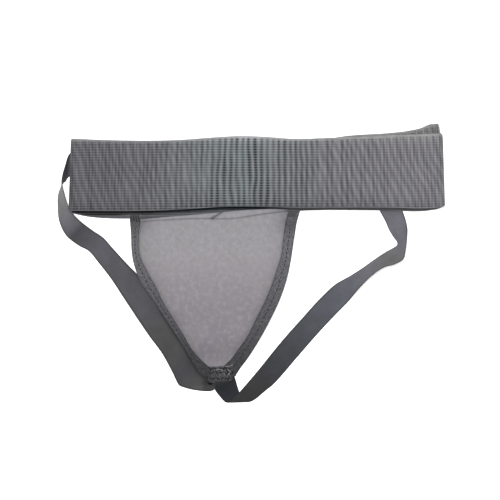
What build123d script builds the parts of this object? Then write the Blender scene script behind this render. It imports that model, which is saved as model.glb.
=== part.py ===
"""Groin protector: an elastic waistband, a cup pocket, two leg straps and a removable moulded cup.

It lies flat on a table. +X runs along the waistband, +Y from the pouch's tip to the waistband, and
+Z up from the table, which is z = 0. The origin is the middle of its outline on the table.
The wearer's front is underneath: the pouch is sewn to the lower layer of the waistband loop.
"""
from build123d import *
from math import hypot
import os

os.makedirs("parts", exist_ok=True)

# Waistband: a 75 mm elastic joined into a loop that lies as two layers
band_height = 75.0
band_thickness = 1.7
band_left, band_right = -190.0, 200.0
band_near_low = 53.5  # lower edge of the upper layer at its left end
band_near_rise = 3.0  # how much further from the tip that edge is at its right end
band_far_edge = [(-190.0, 46.5), (60.0, 55.5), (200.0, 70.5)]  # lower edge of the lower layer
loop_top_middle = 30.0
loop_top_ends = 22.0
fold_radius = 9.0
lap_length = 24.0  # where the elastic's two ends are lapped and sewn
lap_centre = 92.0

# Webbing and fabric
strap_thickness = 1.2
panel_seam_thickness = 1.2  # outer panel where it is pressed flat in a seam
panel_padding = 1.8  # foam backing of the outer panel
lining_thickness = 0.8
hem_width = 6.0
stitch_length = 3.2
stitch_width = 0.8
stitch_height = 0.3
stitch_spans = [(0.08, 0.42), (0.58, 0.92)]  # two stitches between cross-sections
tack_stitches = 6  # across each binding, at the corner of the mouth

# Pouch: outline and the heights that its edge, its middle and the lining over the cup lie at
pouch_top = 47.0
pouch_length = 187.0
pouch_half_width = 87.0
pouch_fall_off = 1.15  # how fast the sides draw in towards the tip
pouch_axis_top, pouch_axis_tip = -41.5, -35.0
binding_width = 8.3
fabric_tip = -108.0
seam_end = 62.0  # the outer panel runs under the waistband up to here
mouth = 46.0
edge_rise = 10.0
tip_level = 2 * strap_thickness
lining_middle = 20.5
lining_gap = 1.6  # from the outer panel's underside to the lining, at the bound edge
row_pitch = 7.75  # between cross-sections
section_shares = (-1.0, -0.85, -0.6, 0.0, 0.6, 0.85, 1.0)  # across the fabric, in half widths

# Cup: a moulded shell, dome down, with a soft rim, in the pocket between panel and lining
cup_x = -39.0
cup_top_centre, cup_bottom_centre = -12.0, -58.0
cup_rim_radii = (48.0, 16.0)
cup_wall = 2.4
cup_rim_low, cup_rim_high = 15.4, 19.0
cup_flange_low, cup_flange_high = 16.4, 18.2
cup_dome_sections = [(3.5, 13.0, 3.0), (5.5, 25.0, 7.0), (10.5, 34.0, 10.0), (17.0, 40.5, 12.0)]
vent_radius = 2.6
vent_centre_y = -22.0

# Seams sewn through the waistband
band_inner_face = strap_thickness + band_thickness
left_tab = (-169.5, 106.0, 20.0)  # centre and angle of the left strap's box seam
right_tab = (139.0, 74.0, 90.0)


def ramp(value, start, end):
    """0 before start and 1 after end, with a smooth change between them."""
    share = min(max((value - start) / (end - start), 0.0), 1.0)
    return share * share * (3 - 2 * share)


def pouch_axis(y):
    return pouch_axis_top + (pouch_axis_tip - pouch_axis_top) * ramp(y, 0.0, -60.0)


def outer_half(y):
    """Half the pouch's width over its bindings."""
    share = max(pouch_top - y, 0.0) / pouch_length
    return pouch_half_width * (1 - share * share) ** pouch_fall_off


def inner_half(y):
    """Half the width of the fabric between the bindings, which keep their width along the slope."""
    slope = (outer_half(y + 1) - outer_half(y - 1)) / 2
    return outer_half(y) - binding_width * hypot(1, slope)


def edge_low(y):
    """Underside of the bindings, which lie on the table at both ends and rise beside the cup."""
    rise = edge_rise * ramp(y, pouch_top, 26.0)
    return rise + (tip_level - edge_rise) * ramp(y, -62.0, fabric_tip)


def edge_high(y):
    return edge_low(y) + panel_seam_thickness + 2.0 * ramp(y, pouch_top, pouch_top - 14)


def panel_low(y, share):
    """Underside of the outer panel: a shallow bowl from one bound edge to the other."""
    keel = tip_level * ramp(y, -84.0, fabric_tip)
    return keel + (edge_low(y) - keel) * share**2


def panel_high(y, share):
    """Upper side of the outer panel, padded under the cup and pressed flat at its edges."""
    padded = ramp(y, 42.0, 26.0) * ramp(y, -100.0, -80.0) * (1 - share**2)
    return panel_low(y, share) + panel_seam_thickness + panel_padding * padded


def lining_low(y, share):
    """Underside of the lining: nearly level over the cup's rim and falling to the bound edges."""
    edge = edge_low(y) + lining_gap
    middle = lining_middle - (lining_middle - tip_level - lining_gap) * ramp(y, -78.0, fabric_tip)
    return edge + (middle - edge) * (1 - share**6)


def lining_high(y, share):
    return lining_low(y, share) + lining_thickness


def hem_high(y, share):
    return lining_low(y, share) + 2 * lining_thickness


def rows_between(top, bottom):
    """Places of the cross-sections: every row_pitch from the waistband's edge, and the two ends."""
    count = int((pouch_top - fabric_tip) / row_pitch)
    rows = [pouch_top - row_pitch * i for i in range(count + 1)]
    return [top] + [y for y in rows if bottom + 1 < y < top - 1] + [bottom]


def fabric_section(y, low, high):
    """Cross-section of a fabric layer, from one binding to the other."""
    places = [(share, pouch_axis(y) + share * inner_half(y)) for share in section_shares]
    with BuildSketch(Plane.XZ.offset(-y)) as section:
        with BuildLine():
            under = Spline(*[(x, low(y, share)) for share, x in places])
            over = Spline(*[(x, high(y, share)) for share, x in places])
            Line(under @ 0, over @ 0)
            Line(under @ 1, over @ 1)
        make_face()
    return section.sketch


def fabric_layer(top, bottom, low, high):
    loft([fabric_section(y, low, high) for y in rows_between(top, bottom)], ruled=True)


def edge_section(y, side, start, end, low, high):
    """Cross-section of a strip along one side, start and end being widths out from the fabric."""
    inner = pouch_axis(y) + side * inner_half(y)
    width = side * (outer_half(y) - inner_half(y))
    with BuildSketch(Plane.XZ.offset(-y)) as section:
        with BuildLine():
            Polyline(
                (inner + start * width, low), (inner + end * width, low),
                (inner + end * width, high), (inner + start * width, high), close=True,
            )
        make_face()
    return section.sketch


def stitch_between(upper, lower, side, widths, span):
    """A stitch on a binding, between two cross-sections: where it lies across and along it."""
    first, last = [
        edge_section(y, side, *widths, edge_high(y), edge_high(y) + stitch_height) for y in (upper, lower)
    ]
    loft([section_between(first, last, share) for share in span], ruled=True)


def section_between(first, last, share):
    """The four-cornered section part of the way from one to another."""
    pairs = zip(first.face().outer_wire().order_edges(), last.face().outer_wire().order_edges())
    corners = [(a @ 0) + ((b @ 0) - (a @ 0)) * share for a, b in pairs]
    return Sketch() + Face(Wire.make_polygon(corners))


def write(part, name):
    """Name a finished piece and save it."""
    part.label = name
    export_step(part, f"parts/{name}.step")


# Waistband: an oval tube along Y, trimmed by ruled surfaces, because its layers lie askew
near_low = Edge.make_line(
    (band_left - 8, band_near_low, loop_top_middle + 2),
    (band_right + 8, band_near_low + band_near_rise, loop_top_middle + 2),
)
far_ends = [(band_left - 8, band_far_edge[0][1]), band_far_edge[1], (band_right + 8, band_far_edge[2][1])]
far_low = Edge.make_spline([Vector(x, y, 0) for x, y in far_ends])
low_trim = Face.make_surface_from_curves(near_low, far_low)
with BuildPart() as waistband:
    with BuildSketch(Plane.XZ.offset(-20)) as loop_section:
        with BuildLine():
            Line((band_left, strap_thickness), (band_right, strap_thickness))
            Line((band_right, strap_thickness), (band_right, loop_top_ends))
            middle = ((band_left + band_right) / 2, loop_top_middle)
            ThreePointArc((band_right, loop_top_ends), middle, (band_left, loop_top_ends))
            Line((band_left, loop_top_ends), (band_left, strap_thickness))
        make_face()
        fillet(loop_section.vertices(), fold_radius)
        offset(amount=-band_thickness, mode=Mode.SUBTRACT)
    extrude(amount=-160)
    with BuildSketch(Plane.XY.offset(band_inner_face)):
        with Locations((lap_centre, 100)):
            Rectangle(lap_length, 150)
    extrude(amount=band_thickness)
    add(Solid.extrude(low_trim, Vector(0, -120, 0)), mode=Mode.SUBTRACT)
    high_trim = low_trim.moved(Location((0, band_height, 0)))
    add(Solid.extrude(high_trim, Vector(0, 120, 0)), mode=Mode.SUBTRACT)
write(waistband.part, "waistband")

# Pouch: padded outer panel, lining over the cup, and the hem at the pocket's mouth
with BuildPart() as pouch_outer_panel:
    fabric_layer(seam_end, fabric_tip, panel_low, panel_high)
write(pouch_outer_panel.part, "pouch_outer_panel")

with BuildPart() as pouch_lining:
    fabric_layer(mouth - hem_width, fabric_tip, lining_low, lining_high)
write(pouch_lining.part, "pouch_lining")

with BuildPart() as pocket_mouth_hem:
    fabric_layer(mouth, mouth - hem_width, lining_low, hem_high)
write(pocket_mouth_hem.part, "pocket_mouth_hem")

# Bindings down both sides, each with a row of stitches
for side, name in ((-1, "left_binding"), (1, "right_binding")):
    rows = rows_between(seam_end, fabric_tip)
    with BuildPart() as binding:
        loft([edge_section(y, side, 0, 1, edge_low(y), edge_high(y)) for y in rows], ruled=True)
    write(binding.part, name)
    with BuildPart() as stitching:
        for upper, lower in zip(rows[2:], rows[3:]):
            for span in stitch_spans:
                stitch_between(upper, lower, side, (0.45, 0.55), span)
    write(stitching.part, f"{name}_stitching")
    with BuildPart() as bar_tack:
        for i in range(tack_stitches):
            start = (i + 0.5) / (tack_stitches + 0.5)
            stitch_between(rows[1], rows[2], side, (start, start + 0.08), (0.15, 0.85))
    write(bar_tack.part, f"{name}_bar_tack")

# Leg straps: 20 mm webbing from the lower layer's outer face to the pouch's tip
with BuildPart() as left_leg_strap:
    with BuildSketch():
        with BuildLine():
            outer = Spline(
                (-190.5, 115.0), (-197.0, 89.5), (-202.0, 64.5), (-200.5, 45.0), (-193.0, 28.5),
                (-169.0, 12.0), (-145.5, -17.0), (-119.0, -57.0), (-92.5, -95.0), (-77.0, -125.0),
            )
            foot = ThreePointArc(outer @ 1, (-60.0, -132.5), (-38.0, -132.5))
            inner = Spline(
                (-38.0, -110.0), (-60.0, -99.0), (-82.0, -68.0), (-103.0, -37.0), (-125.0, -5.0),
                (-150.0, 20.0), (-180.0, 43.0), (-190.0, 54.0), (-195.0, 70.0), (-191.0, 88.5), (-180.0, 92.0),
            )
            Line(foot @ 1, inner @ 0)
            Polyline(inner @ 1, (-156.0, 98.0), (-163.0, 120.0), outer @ 0)
        make_face()
    extrude(amount=strap_thickness)
    with BuildSketch(Plane.XY.offset(strap_thickness)):
        with Locations((-34.0, -122.0)):
            Rectangle(22.0, 18.0)
    extrude(amount=strap_thickness)
write(left_leg_strap.part, "left_leg_strap")

with BuildPart() as right_leg_strap:
    with BuildSketch():
        with BuildLine():
            outer = Spline(
                (151.0, 62.0), (156.0, 50.0), (161.0, 31.0), (159.5, 12.0), (155.0, 0.0),
                (140.0, -4.5), (112.5, -25.0), (82.5, -58.0), (48.0, -96.0), (15.0, -135.0), (-4.0, -145.0),
            )
            foot = ThreePointArc(outer @ 1, (-22.0, -145.5), (-38.0, -134.0))
            side_run = Line(foot @ 1, (-38.0, -110.0))
            top_run = Polyline(side_run @ 1, (-18.0, -110.0), (-13.0, -135.5))
            inner = Spline(
                top_run @ 1, (5.0, -112.5), (29.0, -83.5), (51.0, -58.5), (70.0, -37.5),
                (95.0, -17.0), (119.0, -2.0), (144.0, 13.5), (148.5, 20.0), (140.0, 40.0), (127.0, 62.0),
            )
            Polyline(inner @ 1, (127.0, 86.0), (151.0, 86.0), outer @ 0)
        make_face()
    extrude(amount=strap_thickness)
write(right_leg_strap.part, "right_leg_strap")

# Tip patch: folded webbing that closes the ends of the fabric, bindings and straps
patch_left, patch_right, patch_low = -48.0, -18.0, -129.0
patch_high_z = edge_high(fabric_tip)
with BuildPart() as tip_patch:
    with BuildSketch(Plane.XY.offset(tip_level)):
        with BuildLine():
            Polyline(
                (patch_left, fabric_tip), (patch_right + 1.5, fabric_tip), (patch_right, patch_low + 4),
                (patch_right - 5, patch_low), (patch_left + 6, patch_low), (patch_left, fabric_tip),
            )
        make_face()
    extrude(amount=patch_high_z - tip_level)
write(tip_patch.part, "tip_patch")

# Bar tacks and box seams: thread lying on the faces that it holds
with BuildPart() as tip_bar_tack:
    with BuildSketch(Plane.XY.offset(patch_high_z)):
        for y in (fabric_tip - 3.5, patch_low + 6):
            with Locations(((patch_left + patch_right) / 2, y)):
                with GridLocations(1.8, 0, 11, 1):
                    Rectangle(stitch_width, 3.4, rotation=12)
    extrude(amount=stitch_height)
write(tip_bar_tack.part, "tip_bar_tack")


def box_seam(x, y, angle):
    """Sketch of a box seam with its crossed diagonals, as separate stitches."""
    with BuildSketch(Plane.XY.offset(band_inner_face)) as seam:
        with Locations(Location((x, y), angle)):
            for shift in (-7.0, 7.0):
                with Locations((0, shift)):
                    with GridLocations(4.0, 0, 4, 1):
                        Rectangle(stitch_length, stitch_width)
                with Locations((shift * 1.1, 0)):
                    with GridLocations(0, 4.0, 1, 3):
                        Rectangle(stitch_width, stitch_length)
            Rectangle(stitch_length, stitch_width, rotation=45)
    return seam.sketch


for name, place in (("left_strap_box_seam", left_tab), ("right_strap_box_seam", right_tab)):
    with BuildPart() as seam:
        extrude(box_seam(*place), amount=stitch_height)
    write(seam.part, name)

with BuildPart() as waistband_join_stitching:
    with BuildSketch(Plane.XY.offset(band_inner_face + band_thickness)):
        with Locations((lap_centre, 97.5)):
            with GridLocations(lap_length - 6, 4.8, 2, 13):
                Rectangle(stitch_width, stitch_length)
    extrude(amount=stitch_height)
write(waistband_join_stitching.part, "waistband_join_stitching")

with BuildPart() as pouch_seam_stitching:
    with BuildSketch(Plane.XY.offset(band_inner_face)):
        with Locations((pouch_axis_top, 58.0)):
            with GridLocations(1.5 * stitch_length, 0, 30, 1):
                Rectangle(stitch_length, stitch_width)
    extrude(amount=stitch_height * 0.6)
write(pouch_seam_stitching.part, "pouch_seam_stitching")


# Cup: outlines are the hull of a large circle and a small one
def cup_outline(radii, z):
    with BuildSketch(Plane.XY.offset(z)) as outline:
        with Locations((cup_x, cup_top_centre)):
            Circle(radii[0])
        with Locations((cup_x, cup_bottom_centre)):
            Circle(radii[1])
        make_hull()
    return outline.sketch


def cup_ring(outer, inner, low, high, mode):
    """A flat ring between two outlines, from one height to another."""
    ring = cup_outline(outer, low) - cup_outline(inner, low)
    extrude(ring, amount=high - low, mode=mode)


def dome(inset, lift, mode):
    """The dome's solid, drawn in by the wall and lifted by it for the inside."""
    sections = [cup_outline((a - inset, max(b - inset, 0.8)), z + lift) for z, a, b in cup_dome_sections]
    loft([section.face() for section in sections], mode=mode)


flange_outer = tuple(r - 2.0 for r in cup_rim_radii)
bowl_inner = tuple(r - cup_wall for r in cup_dome_sections[-1][1:])
with BuildPart() as cup_shell:
    dome(0, 0, Mode.ADD)
    dome(cup_wall, cup_wall, Mode.SUBTRACT)
    cup_ring(flange_outer, bowl_inner, cup_flange_low, cup_flange_high, Mode.ADD)
    with BuildSketch(Plane.XY):
        with Locations((cup_x, vent_centre_y)):
            Circle(vent_radius)
            with PolarLocations(11.0, 6):
                Circle(vent_radius)
            with PolarLocations(22.0, 10):
                Circle(vent_radius)
    extrude(amount=14, mode=Mode.SUBTRACT)
write(cup_shell.part, "cup_shell")

rim_inner = tuple(r - 6.0 for r in cup_rim_radii)
with BuildPart() as cup_rim:
    cup_ring(cup_rim_radii, rim_inner, cup_rim_low, cup_rim_high, Mode.ADD)
    cup_ring(flange_outer, bowl_inner, cup_flange_low, cup_flange_high, Mode.SUBTRACT)
    dome(0, 0, Mode.SUBTRACT)
write(cup_rim.part, "cup_rim")
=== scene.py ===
"""Groin protector laid flat: the visible cloth, webbing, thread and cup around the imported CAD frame.

Lengths in this script are millimetres in the CAD's frame until a mesh is made, which turns them to
metres. +X runs along the waistband, +Y from the pouch's tip to the waistband, +Z up from the table.
"""
import math

import bpy
import numpy as np
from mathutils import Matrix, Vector, noise


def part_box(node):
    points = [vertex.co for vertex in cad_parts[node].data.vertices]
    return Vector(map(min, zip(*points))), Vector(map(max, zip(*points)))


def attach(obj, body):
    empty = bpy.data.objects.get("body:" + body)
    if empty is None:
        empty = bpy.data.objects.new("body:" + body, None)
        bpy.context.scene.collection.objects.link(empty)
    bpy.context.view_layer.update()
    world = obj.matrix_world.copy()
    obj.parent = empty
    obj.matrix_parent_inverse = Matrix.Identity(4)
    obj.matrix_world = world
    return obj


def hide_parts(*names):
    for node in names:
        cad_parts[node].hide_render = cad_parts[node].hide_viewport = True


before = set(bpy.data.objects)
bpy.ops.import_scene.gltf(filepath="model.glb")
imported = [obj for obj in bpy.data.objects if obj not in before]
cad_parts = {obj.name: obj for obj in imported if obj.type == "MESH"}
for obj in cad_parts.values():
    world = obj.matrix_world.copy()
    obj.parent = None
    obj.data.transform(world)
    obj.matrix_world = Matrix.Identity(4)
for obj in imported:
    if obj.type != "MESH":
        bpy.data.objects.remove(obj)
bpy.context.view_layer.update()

MM = 0.001
BODY = "supporter"


def node_box(node):
    """A CAD node's lowest and highest corners, in millimetres."""
    low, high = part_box(node)
    return np.array(low) / MM, np.array(high) / MM


band_low, band_high = node_box("waistband")
BAND_LEFT, BAND_RIGHT = band_low[0], band_high[0]
BAND_UNDER, BAND_TOP = band_low[2], band_high[2]
BAND_SIDES = 22.0  # top of the upper layer at the loop's two ends
BAND_THICKNESS = 1.7
BAND_HEIGHT = 75.0
INNER_FACE = BAND_UNDER + BAND_THICKNESS  # upper face of the lower layer
STRAP_THICKNESS = BAND_UNDER  # the lower layer lies on the straps' ends
TIP_LEVEL = 2 * STRAP_THICKNESS  # the pouch's tip lies on both straps
UNDER_THREADS = 0.34  # height of the threads that show from below
UP = (0, 0, 1)


# ---------------------------------------------------------------- curves and grids


def smoothstep(value, start, end):
    """0 up to start, 1 from end on, smooth between."""
    share = np.clip((np.asarray(value, float) - start) / (end - start), 0.0, 1.0)
    return share * share * (3 - 2 * share)


def through(points, x):
    """Height at x of a smooth curve through given (x, height) points."""
    xs, hs = np.array(sorted(points), float).T
    slopes = np.gradient(hs, xs)
    x = np.clip(np.asarray(x, float), xs[0], xs[-1])
    i = np.clip(np.searchsorted(xs, x) - 1, 0, len(xs) - 2)
    width = xs[i + 1] - xs[i]
    t = (x - xs[i]) / width
    start = hs[i] * (1 + 2 * t) * (1 - t) ** 2 + slopes[i] * width * t * (1 - t) ** 2
    return start + hs[i + 1] * t * t * (3 - 2 * t) + slopes[i + 1] * width * t * t * (t - 1)


def along(points, step):
    """Points every step along a smooth curve through the given ones, in any number of dimensions."""
    points = np.array(points, float)
    key = np.r_[0, np.cumsum(np.linalg.norm(np.diff(points, axis=0), axis=1) ** 0.5)]
    fine = np.linspace(0, key[-1], 40 * len(points))
    dense = np.stack([through(list(zip(key, column)), fine) for column in points.T], axis=1)
    run = np.r_[0, np.cumsum(np.linalg.norm(np.diff(dense, axis=0), axis=1))]
    places = np.linspace(0, run[-1], max(int(run[-1] / step), 2) + 1)
    return np.stack([np.interp(places, run, column) for column in dense.T], axis=1)


def grid_normals(grid):
    """Unit normals of a grid of points."""
    rows, columns = np.gradient(grid, axis=0), np.gradient(grid, axis=1)
    normal = np.cross(rows, columns)
    return normal / np.maximum(np.linalg.norm(normal, axis=2, keepdims=True), 1e-9)


def wander(x, y, size, seed):
    """Smooth seeded noise over an array of places, size millimetres across, from -1 to 1."""
    flat = zip(np.ravel(x), np.ravel(y))
    values = [noise.noise(Vector((a / size, b / size, seed))) for a, b in flat]
    return np.array(values).reshape(np.shape(x))


def rounded(v, power):
    """Share of the full thickness across a strip, v from -1 to 1: full, then rounded at the edges."""
    return np.maximum(1 - np.abs(v) ** power, 0.0) ** 0.5


# Places across a strap, from edge to edge, closer together where its edges are rounded
EDGE_SPREAD = np.array([-1, -0.985, -0.94, -0.86, -0.72, -0.54, -0.36, -0.18, 0])
EDGE_SPREAD = np.r_[EDGE_SPREAD, -EDGE_SPREAD[-2::-1]]
RIBBON_STEP = 2.0


# ---------------------------------------------------------------- meshes


def finish_piece(name, vertices, faces, material, slot, replaces=(), weave=None, painted_light=None):
    """Make a mesh object from millimetres, with its material, its CAD node and its body."""
    mesh = bpy.data.meshes.new(name)
    mesh.from_pydata((np.asarray(vertices) * MM).tolist(), [], faces)
    for polygon in mesh.polygons:
        polygon.use_smooth = True
    if weave is not None:
        mesh.attributes.new("weave", "FLOAT_VECTOR", "POINT").data.foreach_set("vector", np.ravel(weave))
    # A per-point factor kept on the mesh, which the materials use to paint light and shade into the colour
    if painted_light is not None:
        mesh.attributes.new("painted_light", "FLOAT", "POINT").data.foreach_set("value", np.ravel(painted_light))
    mesh.materials.append(material)
    mesh.validate()
    mesh.update()
    piece = bpy.data.objects.new(name, mesh)
    bpy.context.scene.collection.objects.link(piece)
    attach(piece, BODY)
    if replaces:
        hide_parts(*replaces)
    return piece


def slab(name, top, bottom, along_mm, across_mm, painted_light=None, **facts):
    """A closed sheet between two grids of points, joined along all four edges."""
    rows, columns = top.shape[:2]
    count = rows * columns
    index = np.arange(count).reshape(rows, columns)
    quads = np.stack([index[:-1, :-1], index[1:, :-1], index[1:, 1:], index[:-1, 1:]], axis=-1).reshape(-1, 4)
    faces = quads.tolist() + (quads[:, ::-1] + count).tolist()
    border = list(index[0, :]) + list(index[1:, -1]) + list(index[-1, -2::-1]) + list(index[-2:0:-1, 0])
    for a, b in zip(border, border[1:] + border[:1]):
        faces.append([int(a), int(b), int(b + count), int(a + count)])
    weave = np.stack([along_mm, across_mm, np.zeros_like(along_mm)], axis=-1).reshape(-1, 3)
    # ribs: the per-point factor that paints light and shade into the colour
    ribs = np.ravel(painted_light) if painted_light is not None else np.ones(count)
    return finish_piece(
        name,
        np.concatenate([top.reshape(-1, 3), bottom.reshape(-1, 3)]),
        faces,
        weave=np.concatenate([weave, weave]),
        painted_light=np.concatenate([ribs, ribs]),
        **facts,
    )


def seen(places):
    """Places moved outwards to where they cover the same part of the picture as at its plane."""
    places = np.array(places, float)
    grown = (CAMERA_HEIGHT - places[:, 2::3]) / (CAMERA_HEIGHT - PICTURE_PLANE)
    places[:, 0::3] = AIM[0] + (places[:, 0::3] - AIM[0]) * grown
    places[:, 1::3] = AIM[1] + (places[:, 1::3] - AIM[1]) * grown
    return places


def ribbon(name, edges, swell, shade=None, **facts):
    """Webbing whose two edges pass through the given (x, y, z, x, y, z) places."""
    line = along(seen(edges), RIBBON_STEP)
    left, right = line[:, None, :3], line[:, None, 3:]
    across = EDGE_SPREAD[None, :, None]
    middle = left * (1 - across) / 2 + right * (1 + across) / 2
    middle[..., 2] = np.maximum(middle[..., 2], STRAP_THICKNESS / 2)
    normal = grid_normals(middle)
    centre = middle[:, len(EDGE_SPREAD) // 2]
    run = np.r_[0, np.cumsum(np.linalg.norm(np.diff(centre, axis=0), axis=1))]
    width = np.linalg.norm(line[:, :3] - line[:, 3:], axis=1).mean()
    half = STRAP_THICKNESS / 2 * rounded(across, 8)
    along_mm = np.repeat(run[:, None], len(EDGE_SPREAD), axis=1)
    across_mm = np.repeat(EDGE_SPREAD[None, :] * width / 2, len(run), axis=0)
    middle = middle + normal * swell(along_mm, across_mm)[..., None]
    painted_light = shade(middle[..., 0], middle[..., 1]) if shade is not None else None
    top, bottom = middle + normal * half, middle - normal * half
    return slab(name, top, bottom, along_mm, across_mm, painted_light, **facts)


# A stitch's width along its run: (place from -1 to 1, share of its radius)
STITCH_PROFILE = [
    (-1.0, 0.25), (-0.86, 0.75), (-0.5, 1.0), (0.0, 1.08), (0.5, 1.0), (0.86, 0.75), (1.0, 0.25),
]
STITCH_SIDES = 8


def stitches(name, spots, material, replaces=(), radius=0.42):
    """Threads lying on cloth, each a short rounded run between two points."""
    vertices, faces, weave = [], [], []
    sides = STITCH_SIDES
    for start, end in spots:
        start, end = np.array(start, float), np.array(end, float)
        axis = end - start
        half = np.linalg.norm(axis) / 2
        axis = axis / (2 * half)
        side = np.cross(UP, axis)
        side = side / np.linalg.norm(side)
        lift = np.cross(axis, side)
        first = len(vertices)
        for share, width in STITCH_PROFILE:
            centre = (start + end) / 2 + axis * share * half - lift * radius * 0.5 * share * share
            for k in range(sides):
                turn = 2 * math.pi * k / sides
                out = side * math.cos(turn) + lift * math.sin(turn) * 0.8
                vertices.append(centre + out * radius * width)
                weave.append((share * half, turn * radius, 0.0))
        for ring in range(len(STITCH_PROFILE) - 1):
            for k in range(sides):
                a, b = first + ring * sides + k, first + ring * sides + (k + 1) % sides
                faces.append([a, b, b + sides, a + sides])
        faces.append([first + k for k in range(sides)][::-1])
        last = first + (len(STITCH_PROFILE) - 1) * sides
        faces.append([last + k for k in range(sides)])
    return finish_piece(name, vertices, faces, material, "thread", replaces, weave=np.array(weave))


# ---------------------------------------------------------------- materials


class Shader:
    """A small hand for building a procedural material's nodes."""

    def __init__(self, name, roughness, **sockets):
        self.material = bpy.data.materials.new(name)
        self.material.use_nodes = True
        self.tree = self.material.node_tree
        self.surface = self.tree.nodes["Principled BSDF"]
        self.surface.inputs["Roughness"].default_value = roughness
        for socket, value in sockets.items():
            self.surface.inputs[socket.replace("_", " ")].default_value = value

    def add(self, kind, inputs=None, **settings):
        node = self.tree.nodes.new("ShaderNode" + kind)
        for key, value in settings.items():
            setattr(node, key, value)
        for key, value in (inputs or {}).items():
            if isinstance(value, bpy.types.NodeSocket):
                self.tree.links.new(value, node.inputs[key])
            else:
                node.inputs[key].default_value = value
        return node

    def math(self, operation, a, b=0.0, c=0.0):
        return self.add("Math", {0: a, 1: b, 2: c}, operation=operation).outputs[0]

    def places(self):
        """The weave's own coordinates: millimetres along and across the cloth."""
        weave = self.add("Attribute", attribute_name="weave").outputs["Vector"]
        split = self.add("SeparateXYZ", {0: weave})
        return weave, split.outputs[0], split.outputs[1]

    def wave(self, coordinate, pitch, shift=0.0):
        """0 to 1 and back once in each pitch."""
        edge_band = self.math("MULTIPLY_ADD", coordinate, 2 * math.pi / pitch, shift)
        return self.math("MULTIPLY_ADD", self.math("SINE", edge_band), 0.5, 0.5)

    def noise(self, vector, scale, detail=3.0, roughness=0.55):
        inputs = {"Vector": vector, "Scale": scale, "Detail": detail, "Roughness": roughness}
        return self.add("TexNoise", inputs).outputs["Fac"]

    def object_places(self):
        return self.add("TexCoord").outputs["Object"]

    def mix(self, factor, a, b, blend="MIX"):
        node = self.add("Mix", data_type="RGBA", blend_type=blend)
        for socket, value in ((node.inputs[0], factor), (node.inputs[6], a), (node.inputs[7], b)):
            if isinstance(value, bpy.types.NodeSocket):
                self.tree.links.new(value, socket)
            else:
                socket.default_value = value
        return node.outputs[2]

    def spread(self, value, low, high, to_low=0.0, to_high=1.0):
        return self.add("MapRange", {0: value, 1: low, 2: high, 3: to_low, 4: to_high}).outputs[0]

    def stops(self, value, colors):
        """A colour along a value, through (value, colour) stops."""
        low, high = colors[0][0], colors[-1][0]
        ramp = self.add("ValToRGB", {0: self.spread(value, low, high)})
        elements = ramp.color_ramp.elements
        while len(elements) < len(colors):
            elements.new(0.5)
        for element, (place, color) in zip(elements, colors):
            element.position = (place - low) / (high - low)
            element.color = color
        return ramp.outputs["Color"]

    def bump(self, height, distance):
        """A normal for relief of the given depth in millimetres."""
        inputs = {"Height": height, "Distance": distance * MM, "Strength": 1.0}
        return self.add("Bump", inputs).outputs["Normal"]

    def done(self, color, normal=None, roughness=None):
        self.tree.links.new(color, self.surface.inputs["Base Color"])
        if normal is not None:
            self.tree.links.new(normal, self.surface.inputs["Normal"])
        if roughness is not None:
            self.tree.links.new(roughness, self.surface.inputs["Roughness"])
        return self.material


def grey(level, tint=(1.0, 1.0, 1.0)):
    """A linear colour from a 0 to 255 display grey and a tint."""
    linear = (level / 255) ** 2.2
    return tuple(linear * t for t in tint) + (1.0,)


def ribbed_elastic():
    """Waistband: crosswise ribs held by fine threads that run along the band."""
    s = Shader("ribbed_elastic", 0.88, Sheen_Weight=0.05, Sheen_Roughness=0.5, Specular_IOR_Level=0.18)
    weave, run, across = s.places()
    painted_light = s.add("Attribute", attribute_name="painted_light").outputs["Fac"]
    threads = s.math("POWER", s.wave(across, 2.65), 3.0)
    fine = s.wave(across, 0.9)
    picks = s.wave(run, 0.85)
    fuzz = s.noise(weave, 1.6, 4.0)
    slant = {"Vector": weave, "Rotation": (0, 0, 0.35), "Scale": (0.11, 0.04, 1.0)}
    patch = s.noise(s.add("Mapping", slant).outputs[0], 1.0, 3.0)
    side = s.spread(s.add("SeparateXYZ", {0: s.object_places()}).outputs[0], -0.19, 0.2)
    color = s.mix(side, grey(97, (1.02, 0.99, 1.12)), grey(127, (1.02, 0.99, 1.08)))
    from_middle = s.math("ABSOLUTE", s.math("SUBTRACT", side, 0.45))
    middle = s.math("MAXIMUM", s.math("SUBTRACT", 1.0, s.math("MULTIPLY", from_middle, 3.6)), 0.0)
    color = s.mix(middle, color, grey(114, (0.86, 1.0, 1.06)))
    color = s.mix(s.spread(across, 122.0, 128.0, 0.0, 0.7), color, grey(134))
    # The per-point factor paints light and shade into the colour: painted shade in the grooves and along the
    # lower edges, a painted highlight along the upper edge, and darker diagonal bands
    painted_light_ramp = [(0.0, 0.09), (0.35, 0.3), (0.65, 0.56), (0.85, 0.78), (1.0, 1.0), (1.25, 1.32), (1.5, 1.7)]
    painted_light_ramp = s.stops(painted_light, [(at, (share, share, share, 1)) for at, share in painted_light_ramp])
    color = s.mix(1.0, color, painted_light_ramp, "MULTIPLY")
    color = s.mix(s.spread(patch, 0.3, 0.7, 0.35, 0.0), color, grey(150), "MULTIPLY")
    color = s.mix(s.spread(threads, 0.0, 1.0, 0.12, 0.0), color, grey(150), "MULTIPLY")
    lightness = s.math("MULTIPLY_ADD", middle, 0.16, 0.14)
    color = s.mix(s.math("MULTIPLY", threads, lightness), color, grey(160))
    color = s.mix(s.spread(fuzz, 0.3, 0.7, 0.0, 0.35), color, grey(170), "MULTIPLY")
    woven = s.math("MULTIPLY", s.math("ADD", threads, s.math("MULTIPLY", fine, 0.7)), picks)
    normal = s.bump(s.math("ADD", woven, s.math("MULTIPLY", fuzz, 0.8)), 0.06)
    return s.done(color, normal)


WEBBING_EDGE = 9.8  # distance from a strap's middle line at which its darker edge starts
BINDING_EDGE = 3.9


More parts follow.
